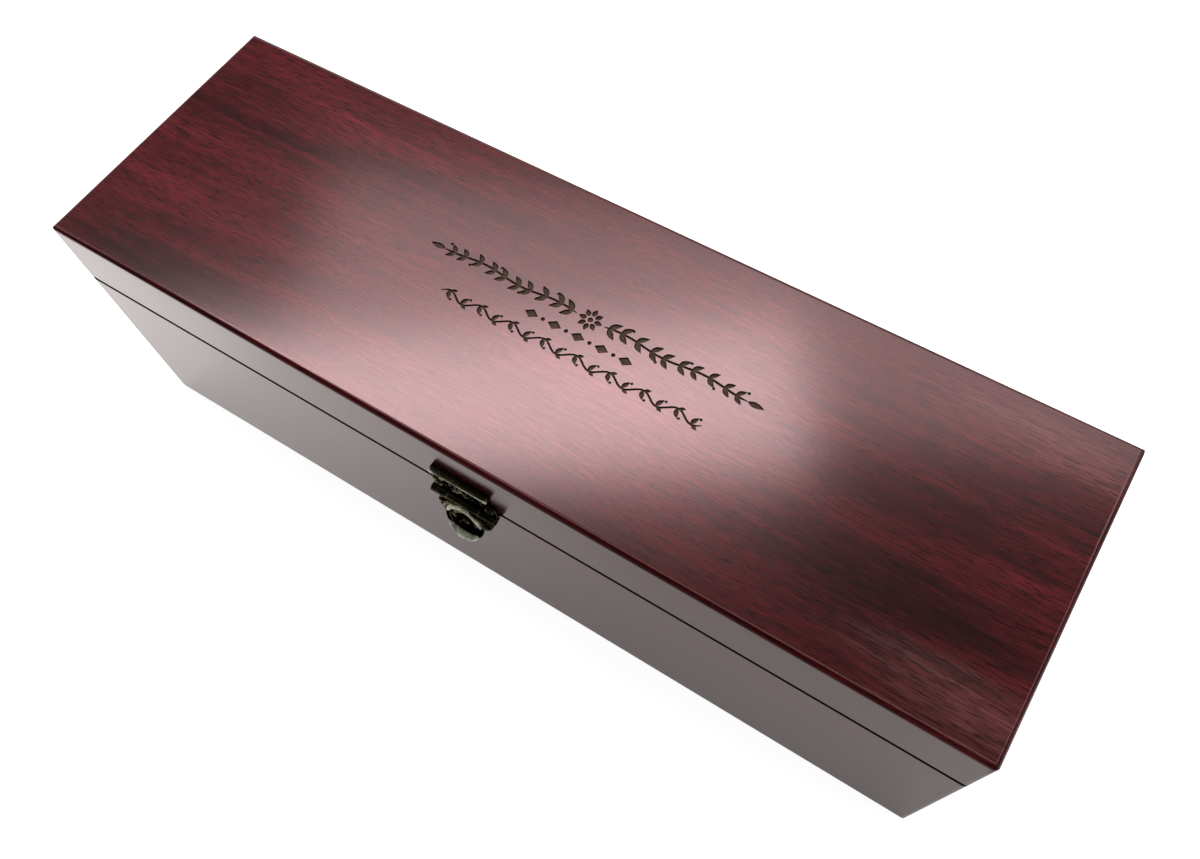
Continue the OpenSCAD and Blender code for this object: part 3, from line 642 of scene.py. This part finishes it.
def branchShapes(row):
    # a flower in the middle, and to each side a branch with leaves in pairs and a leaf at its end
    middle = (row["from"] + row["to"]) / 2
    shapes = []
    for a in (math.pi * k / 4 for k in range(8)):
        x, y = middle + row["petalFrom"] * math.cos(a), row["y"] + row["petalFrom"] * math.sin(a)
        shapes.append(leafShape(x, y, a, row["petal"], row["petalWidth"], 0))
    shapes.append(discShape(middle, row["y"], row["eye"]))
    for way in (-1, 1):
        end = row["to"] if way > 0 else row["from"]
        span = abs(end - middle) - row["gap"]
        line = [(middle + way * (row["gap"] + span * t / 40), row["y"] + 0.7 * math.sin(2 * math.pi * t / 20))
                for t in range(37)]
        shapes.append(stemShape(line, row["stem"]))
        count = int(span / row["step"])
        for k in range(count):
            x, y = line[int((k + 0.35) / count * 36)]
            length, width = row["leaf"] * (1 - 0.25 * k / count), row["leafWidth"] * (1 - 0.2 * k / count)
            for side in (-1, 1):
                tilt = math.radians(38 + 4 * side * (k % 2)) * side
                angle = tilt if way > 0 else math.pi - tilt
                shapes.append(leafShape(x, y + 0.2 * side, angle, length, width, 0.1 * side * way))
            if k % 2:
                berry = 2.7 if k % 4 == 1 else -2.7
                shapes.append(discShape(x + way * row["step"] * 0.62, y + berry, 0.55, 14))
        x, y = line[-1]
        shapes.append(leafShape(x, y, 0 if way > 0 else math.pi, abs(end - x), row["leafWidth"], 0))
    return shapes


def lozengeShapes(row):
    # lozenges with dots between them
    step = (row["to"] - row["from"]) / row["count"]
    shapes = []
    for k in range(row["count"]):
        x = row["from"] + step * (k + 0.5)
        y, wide, high = row["y"], step * 0.29, row["height"] / 2
        shapes.append([(x - wide, y), (x, y - high), (x + wide, y), (x, y + high)])
        if k:
            shapes.append(discShape(x - step / 2, y, 0.75, 16))
    return shapes


def vineShapes(row):
    # a waving stem with a large and a small leaf and a berry at each bend
    long = row["to"] - row["from"]
    waves = long / row["wave"]
    steps = int(waves * 12)
    line = [(row["from"] + long * t / steps, row["y"] + row["swing"] * math.sin(2 * math.pi * t / 12))
            for t in range(steps + 1)]
    shapes = [stemShape(line, row["stem"])]
    for k in range(int(waves * 2)):
        x, y = line[min(3 + 6 * k, steps)]
        side = 1 if k % 2 == 0 else -1
        for shift, degrees, length, width, bend in ((-0.4, -62, 1.0, 1.0, -0.15), (0.2, 28, 0.7, 0.8, 0.1)):
            length, width = row["leaf"] * length, row["leafWidth"] * width
            angle = math.radians(degrees * side)
            shapes.append(leafShape(x + shift, y - 0.2 * side, angle, length, width, bend * side))
        shapes.append(discShape(x + 1.9, y - 3.1 * side, 0.5, 14))
    return shapes


def makeScorch(name, dark, light):
    # wood browned by the engraver's heat, with the fine lines of its passes, and painted shade near the walls
    # and in the corners
    s = Shader(name)
    passes = s.ramp(s.noise(s.objectPoint(scale=(160, 5200, 900)), 1, 3, 0.6), [(0.34, 0.0), (0.66, 1.0)])
    flecks = s.ramp(s.noise(s.objectPoint(), 1300, 3), [(0.35, 0.0), (0.7, 1.0)])
    paler = s.math("MULTIPLY_ADD", passes, 0.6, s.math("MULTIPLY", flecks, 0.4))
    colour = s.mix(paler, toLinear(dark), toLinear(light))
    # painted shade: darker where the nearby walls close in over the surface
    sky = s.add("ShaderNodeAmbientOcclusion", {"Distance": 0.7 * mm}, samples=8).outputs["AO"]
    return s.surface({
        "Base Color": s.mix(s.ramp(sky, [(0.55, 1.0), (0.9, 0.0)]), colour, toLinear(engraving["cornerPaintedShade"])),
        "Roughness": 0.8,
        "Normal": s.bump(passes, 0.5, 0.06 * mm),
        "Specular IOR Level": 0.2,
    })


def roundedNormals(mesh, low, high, r):
    # even shading round the board's edges, where the cut mesh has only long thin faces
    inner = [(low[0] + r, high[0] - r), (low[1] + r, high[1] - r), (low[2] - r, high[2] - r)]
    normals = []
    for face in mesh.polygons:
        for k in face.loop_indices:
            co = mesh.vertices[mesh.loops[k].vertex_index].co
            away = co - Vector([min(max(c, least), most) for c, (least, most) in zip(co, inner)])
            onEdge = away.length > 0.9 * r and away.normalized().dot(face.normal) > 0.9
            normals.append(away.normalized() if onEdge else face.normal.copy())
    mesh.normals_split_custom_set(normals)


def makeCutter():
    # what the engraver takes away, its floor in one material and its walls in the other
    work = bmesh.new()
    shapes = branchShapes(engraving["branchRow"])
    shapes += lozengeShapes(engraving["lozengeRow"])
    shapes += vineShapes(engraving["vineRow"])
    heights = (lidTop - engraving["depth"], lidTop + 1 * mm)
    for shape in shapes:
        ring = [[work.verts.new((x * mm, y * mm, z)) for x, y in shape] for z in heights]
        work.faces.new(ring[0][::-1]).material_index = 1
        work.faces.new(ring[1])
        for k in range(len(shape)):
            n = (k + 1) % len(shape)
            work.faces.new((ring[0][k], ring[0][n], ring[1][n], ring[1][k]))
    bmesh.ops.recalc_face_normals(work, faces=work.faces)
    mesh = bpy.data.meshes.new("cutter")
    work.to_mesh(mesh)
    work.free()
    mesh.materials.append(makeScorch("scorchedWall", *engraving["wall"]))
    mesh.materials.append(makeScorch("engravedGround", *engraving["ground"]))
    return newObject("cutter", mesh)


def engraveLid():
    cutter = makeCutter()
    lid = newObject("lid_sheet_engraved", nodes["top_panel"].data.copy())
    cut = lid.modifiers.new("engrave", "BOOLEAN")
    cut.object, cut.operation, cut.solver = cutter, "DIFFERENCE", "EXACT"
    cut.use_self = True
    cut.material_mode = "TRANSFER"
    lid.data = shapedMesh(lid)
    bpy.data.objects.remove(cutter)
    softenShading(lid)
    roundedNormals(lid.data, *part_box("top_panel"), engraving["boardRound"])
    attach(lid, "lid")
    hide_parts("top_panel")


engraveLid()
print("engraving done")


# Cloth lining and padding

cloth = {
    "thread": 0.32 * mm,
    # colours of the threads, roughness, and how much the surface rolls
    "satin": {"light": (246, 238, 220), "shade": (222, 208, 180), "roughness": 0.27, "rolls": 0.5},
    "lining": {"light": (228, 216, 190), "shade": (204, 188, 156), "roughness": 0.6, "rolls": 0.2},
    "piping": {"light": (206, 178, 128), "shade": (168, 138, 88), "roughness": 0.34, "rolls": 0.5},
}


def makeCloth(name, kind):
    s = Shader(name)
    point = s.objectPoint()
    light, shade = toLinear(kind["light"]), toLinear(kind["shade"])
    wave = {"Vector": point, "Scale": 1 / (2 * math.pi * cloth["thread"]), "Distortion": 0.6, "Detail": 1.0}
    warp, weft, rise = (s.add("ShaderNodeTexWave", wave, bands_direction=axis).outputs[1] for axis in "XYZ")
    weave = s.math("MULTIPLY", s.math("ADD", s.math("ADD", warp, weft), rise), 0.333)
    slubs = s.noise(s.add("ShaderNodeMapping", {0: point, "Scale": (160, 900, 900)}), 1, 3)
    slubs = s.ramp(slubs, [(0.35, 0.0), (0.7, 1.0)])
    threads = s.math("MULTIPLY_ADD", slubs, 0.35, s.math("MULTIPLY", weave, 0.45))
    soft = s.ramp(s.noise(point, 38, 3), [(0.3, 0.0), (0.7, 1.0)])
    rolling = s.noise(s.add("ShaderNodeMapping", {0: point, "Scale": (70, 120, 70)}), 1, 2)
    return s.surface({
        "Base Color": s.mix(s.math("MULTIPLY", soft, 0.25), s.mix(threads, light, shade), shade),
        "Roughness": s.math("MULTIPLY_ADD", weave, 0.12, kind["roughness"]),
        "Normal": s.bump(weave, 0.35, 0.06 * mm, s.bump(rolling, kind["rolls"], 0.6 * mm)),
        "Sheen Weight": 0.35,
        "Sheen Roughness": 0.4,
        "Specular IOR Level": 0.4,
    })


satinCloth = makeCloth("champagneSatin", cloth["satin"])
liningCloth = makeCloth("champagneLining", cloth["lining"])
pipingCloth = makeCloth("pipingSatin", cloth["piping"])
paint(liningCloth, "front_lining", "back_lining", "left_lining", "right_lining")

padSettings = {
    "fill": 0.7,
    "grid": 2.3 * mm,
    "corner": 1.8 * mm,
    "tuck": 1.0 * mm,  # how far the sewn cloth starts inside its space, before it swells
    "startLow": 1.6 * mm,  # how far under its full height it starts
    "mostSwell": 3.2 * mm,
    "pressure": 4.0,
    "slack": -0.035,  # spare cloth, which makes the small gathers at buttons and edges
    "frames": 20,
    "sink": 2.2 * mm,  # how far the buttons pull the cloth in
    "button": 6.0 * mm,
    "buttonHeight": 1.5 * mm,
    "piping": 0.8 * mm,
    "pipingCorner": 3 * mm,
}


def boardMesh(name, low, high, grid, r):
    # a closed board of small squares with rounded edges
    work = bmesh.new()
    counts = [max(2, round((high[i] - low[i]) / grid)) for i in range(3)]
    for axis in range(3):
        u, v = (axis + 1) % 3, (axis + 2) % 3
        for side in (low[axis], high[axis]):
            rows = []
            for i in range(counts[u] + 1):
                row = []
                for j in range(counts[v] + 1):
                    p = [0, 0, 0]
                    p[axis] = side
                    p[u] = low[u] + (high[u] - low[u]) * i / counts[u]
                    p[v] = low[v] + (high[v] - low[v]) * j / counts[v]
                    row.append(work.verts.new(p))
                rows.append(row)
            for i in range(counts[u]):
                for j in range(counts[v]):
                    work.faces.new((rows[i][j], rows[i + 1][j], rows[i + 1][j + 1], rows[i][j + 1]))
    bmesh.ops.remove_doubles(work, verts=work.verts, dist=0.05 * mm)
    bmesh.ops.recalc_face_normals(work, faces=work.faces)
    for v in work.verts:
        core = Vector([min(max(v.co[i], low[i] + r), high[i] - r) for i in range(3)])
        if (v.co - core).length > r:
            v.co = core + (v.co - core).normalized() * r
    mesh = bpy.data.meshes.new(name)
    work.to_mesh(mesh)
    work.free()
    return mesh


def swell(obj, held, most):
    # cloth sewn over stuffing: the points in held stay, the rest swells by less than most
    rest = [v.co.copy() for v in obj.data.vertices]
    group = obj.vertex_groups.new(name="held")
    group.add([k for k, co in enumerate(rest) if held(co)], 1.0, "REPLACE")
    mod = obj.modifiers.new("cloth", "CLOTH")
    mod.settings.use_pressure = True
    mod.settings.uniform_pressure_force = padSettings["pressure"]
    mod.settings.vertex_group_mass = "held"
    mod.settings.shrink_min = padSettings["slack"]
    mod.settings.quality = 5
    mod.settings.effector_weights.gravity = 0
    mod.settings.tension_stiffness = 12
    mod.settings.bending_stiffness = 0.08
    mod.collision_settings.use_self_collision = False
    mod.point_cache.frame_start, mod.point_cache.frame_end = 1, padSettings["frames"]
    scene = bpy.context.scene
    for step in range(1, padSettings["frames"] + 1):
        scene.frame_set(step)
    shaped = shapedMesh(obj)
    scene.frame_set(1)
    for v, start in zip(shaped.vertices, rest):
        move = v.co - start
        if move.length > 0:
            v.co = start + move * most * (1 - math.exp(-move.length / most)) / move.length
    obj.data = shaped


def finishPad(obj, low, high, body, node):
    # stays inside its own space on all four sides
    for v in obj.data.vertices:
        for i in (0, 1):
            v.co[i] = min(max(v.co[i], low[i]), high[i])
    finer = obj.modifiers.new("finer", "SUBSURF")
    finer.levels = finer.render_levels = 1
    softenShading(obj, 60)
    obj.data.materials.clear()
    obj.data.materials.append(satinCloth)
    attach(obj, body)
    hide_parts(node)


def roundedLoop(low, high, inset, z, r, step=3 * mm):
    # evenly spaced points round a level rectangle with rounded corners
    x0, x1, y0, y1 = low[0] + inset, high[0] - inset, low[1] + inset, high[1] - inset
    loop = []
    corners = ((x1 - r, y1 - r, 0), (x0 + r, y1 - r, 90), (x0 + r, y0 + r, 180), (x1 - r, y0 + r, 270))
    for cx, cy, start in corners:
        for k in range(7):
            a = math.radians(start + 15 * k)
            loop.append((cx + r * math.cos(a), cy + r * math.sin(a), z))
    full = []
    for k, p in enumerate(loop):
        q = loop[(k + 1) % len(loop)]
        parts = max(1, round(math.dist(p, q) / step))
        full += [tuple(p[i] + (q[i] - p[i]) * j / parts for i in range(3)) for j in range(parts)]
    return full


def buttonMesh(name, spots, r, height):
    # covered buttons, domed
    work = bmesh.new()
    for spot in spots:
        for v in bmesh.ops.create_uvsphere(work, u_segments=18, v_segments=10, radius=r)["verts"]:
            v.co.z *= height / r
            v.co += Vector(spot)
    return meshOf(name, work, pipingCloth)


def makePad(node, name, body, columns, rows, facing):
    # a buttoned cushion with a corded seam; facing is 1 when its open side is up and -1 when it is down
    low, high = (list(c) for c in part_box(node))
    tuck = padSettings["tuck"]
    inLow = [low[0] + tuck, low[1] + tuck, low[2]]
    inHigh = [high[0] - tuck, high[1] - tuck, high[2]]
    base, face = (low[2], high[2]) if facing > 0 else (high[2], low[2])
    face -= facing * padSettings["startLow"]
    box = (inLow, [*inHigh[:2], face]) if facing > 0 else ([*inLow[:2], face], inHigh)
    mesh = boardMesh(name, *box, padSettings["grid"], padSettings["corner"])
    obj = newObject(name, mesh)
    long, wide = high[0] - low[0], high[1] - low[1]
    spots = [(low[0] + long * (i + 0.5) / columns, low[1] + wide * (j + 0.5) / rows)
             for i in range(columns) for j in range(rows)]
    sunk, r = padSettings["sink"], padSettings["button"] / 2
    for v in mesh.vertices:
        if abs(v.co.z - face) < 0.5 * mm:
            near = min(math.dist(v.co[:2], p) for p in spots)
            if near < 2 * r:
                v.co.z -= facing * sunk * min(1, 2 - near / r)

    def held(co):
        # the bottom, the sewn sides and the cloth under the buttons
        fromSide = min(min(co[i] - inLow[i], inHigh[i] - co[i]) for i in (0, 1))
        if abs(co.z - base) < 0.9 * mm or fromSide < 0.7 * mm:
            return True
        return abs(co.z - face) > 0.7 * sunk and min(math.dist(co[:2], p) for p in spots) < r

    swell(obj, held, padSettings["mostSwell"])
    finishPad(obj, low, high, body, node)
    places = [(x, y, face - facing * (sunk - 0.5 * mm)) for x, y in spots]
    buttons = buttonMesh(name + "_buttons", places, r, padSettings["buttonHeight"])
    addPiece(name + "_buttons", buttons, body)
    cord = padSettings["piping"]
    loop = roundedLoop(low, high, 1.3 * cord, face - facing * 0.3 * mm, padSettings["pipingCorner"])
    work = bmesh.new()
    addTube(work, loop, [cord] * len(loop), closed=True)
    addPiece(name + "_piping", meshOf(name + "_piping", work, pipingCloth), body)


makePad("left_bed_pad", "left_bed_cushion", "case", 2, 2, 1)
makePad("middle_bed_pad", "middle_bed_cushion", "case", 4, 2, 1)
makePad("right_bed_pad", "right_bed_cushion", "case", 1, 2, 1)
makePad("lid_pad", "lid_cushion", "lid", 8, 2, -1)
print("pads done")


# Cradles for the bottle

restSettings = {
    "fill": 0.9,
    "shrink": (1.6 * mm, 1.2 * mm, 0.8 * mm),  # how much smaller than its space the foam is before it swells
    "voxel": 2.4 * mm,
    "sewn": 1.2 * mm,  # the cloth is held up to this height
    "mostSwell": 1.2 * mm,
}


def makeRest(node, name):
    # a saddle of foam under satin, swollen a little between its seams
    low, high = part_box(node)
    source = nodes[node].data.copy()
    obj = newObject(name, source)
    middle = (Vector(low) + Vector(high)) / 2
    still = (middle.x, middle.y, low[2])
    for v in source.vertices:
        for i, less in enumerate(restSettings["shrink"]):
            v.co[i] = still[i] + (v.co[i] - still[i]) * (1 - less / (high[i] - low[i]))
    voxel = obj.modifiers.new("voxel", "REMESH")
    voxel.mode, voxel.voxel_size = "VOXEL", restSettings["voxel"]
    obj.data = shapedMesh(obj)
    swell(obj, lambda co: co.z < low[2] + restSettings["sewn"], restSettings["mostSwell"])
    finishPad(obj, low, high, "case", node)


makeRest("body_rest", "body_cradle")
makeRest("neck_rest", "neck_cradle")
print("rests done")


# Floor, light and camera

studio = {
    "floorColour": 0.9,
    "floorGlow": 0.70,
    "mirroredFloor": 0.5,  # the floor's own colour as the lacquer mirrors it
    # and its glow: beside the left end and beside the right, and where along x it goes from one to the other
    "mirroredGlow": [(1.36, 1.33, 1.30, 1), (0.345, 0.318, 0.316, 1)],
    "mirroredFrom": (-0.35, 0.08),
    # how bright the mirrored floor is by its distance from the box, 1 being a quarter of a metre:
    # it fades to the dark front of the room
    "mirroredFade": [(0.0, 0.8), (0.09, 1.0), (0.2, 1.0), (0.5, 0.45), (1.0, 0.12)],
    # what the lacquer mirrors of the ceiling and of the front of the room, and where each ends
    "ceiling": 0.05,
    "ceilingFrom": (0.06, 0.22),
    "frontOfRoom": 0.12,
    "frontFrom": (-0.3, 0.0),
    "roomLight": 0.58,
    # lamps hang level and shine down: x, y, z, length, width, turn in degrees, radiance
    "tubeLamp": (-0.421, 0.243, 0.90, 0.90, 0.20, 32.5, 8.2),
    "panelLamp": (-0.038, 0.609, 0.90, 1.446, 0.316, 22.9, 2.15),
}


def seenStraight(s, rays):
    # 1 for what the camera sees, also through glass
    return s.math("MAXIMUM", rays["Is Camera Ray"], rays["Is Transmission Ray"])


def makeFloor():
    bpy.ops.mesh.primitive_plane_add(size=12, location=(0, 0, -0.0002))
    floor = bpy.context.object
    floor.name = "floor"
    s = Shader("paleFloor")
    rays = s.add("ShaderNodeLightPath").outputs
    x, y = s.parts(s.add("ShaderNodeTexCoord").outputs["Object"])[:2]
    away = s.math("MULTIPLY_ADD", s.math("ABSOLUTE", y), 4.0, -4 * frontFace * mm)
    fade = s.ramp(away, studio["mirroredFade"])
    mirrored = s.mix(fade, grey(0.0), grey(studio["mirroredFloor"]))
    colour = s.mix(rays["Is Glossy Ray"], grey(studio["floorColour"]), mirrored)
    white = s.add("ShaderNodeBsdfDiffuse", {"Color": colour})
    lit = s.mix(s.between(x, *studio["mirroredFrom"]), *studio["mirroredGlow"])
    plain = s.math("MULTIPLY", seenStraight(s, rays), studio["floorGlow"])
    glow = s.add("ShaderNodeEmission", {
        "Color": s.mix(rays["Is Glossy Ray"], grey(1.0), lit),
        "Strength": s.math("MULTIPLY_ADD", rays["Is Glossy Ray"], fade, plain),
    })
    s.plug(s.output.inputs["Surface"], s.add("ShaderNodeAddShader", {0: white, 1: glow}))
    floor.data.materials.append(s.owner)


def hangLamp(name, x, y, z, length, width, turn, radiance):
    data = bpy.data.lights.new(name, "AREA")
    data.shape = "RECTANGLE"
    data.size, data.size_y = length, width
    data.energy = radiance * math.pi * length * width
    lamp = newObject(name, data)
    lamp.location = (x, y, z)
    lamp.rotation_euler = (0, 0, math.radians(turn))


def makeRoom():
    # white all round to the eye; the lacquer mirrors white walls, a dim ceiling and a darker front,
    # where the one who looks stands
    s = Shader("room", world=True)
    rays = s.add("ShaderNodeLightPath").outputs
    way = s.parts(s.add("ShaderNodeTexCoord").outputs["Generated"])
    up = s.between(way[2], *studio["ceilingFrom"], 1.0, studio["ceiling"])
    front = s.between(way[1], *studio["frontFrom"], studio["frontOfRoom"], 1.0)
    level = s.blend(rays["Is Glossy Ray"], studio["roomLight"], s.math("MULTIPLY", up, front))
    level = s.blend(seenStraight(s, rays), level, 1.0)
    back = s.add("ShaderNodeBackground", {"Color": grey(1.0), "Strength": level})
    s.plug(s.output.inputs["Surface"], back)
    bpy.context.scene.world = s.owner


view = {
    "place": (0.124616, -0.139655, 0.381166),
    "turn": (25.0322, 2.5751, 32.3638),
    "lens": 29.4921,
    "shift": (-0.00539, 0.04679),
}


def makeCamera():
    data = bpy.data.cameras.new("photoCamera")
    data.lens = view["lens"]
    data.sensor_width = 36
    data.shift_x, data.shift_y = view["shift"]
    data.clip_start = 0.01
    camera = newObject("photoCamera", data)
    camera.location = view["place"]
    camera.rotation_euler = [math.radians(a) for a in view["turn"]]
    bpy.context.scene.camera = camera


makeFloor()
hangLamp("tubeLamp", *studio["tubeLamp"])
hangLamp("panelLamp", *studio["panelLamp"])
makeRoom()
makeCamera()
bpy.context.scene.view_settings.view_transform = "Standard"
print("studio done")
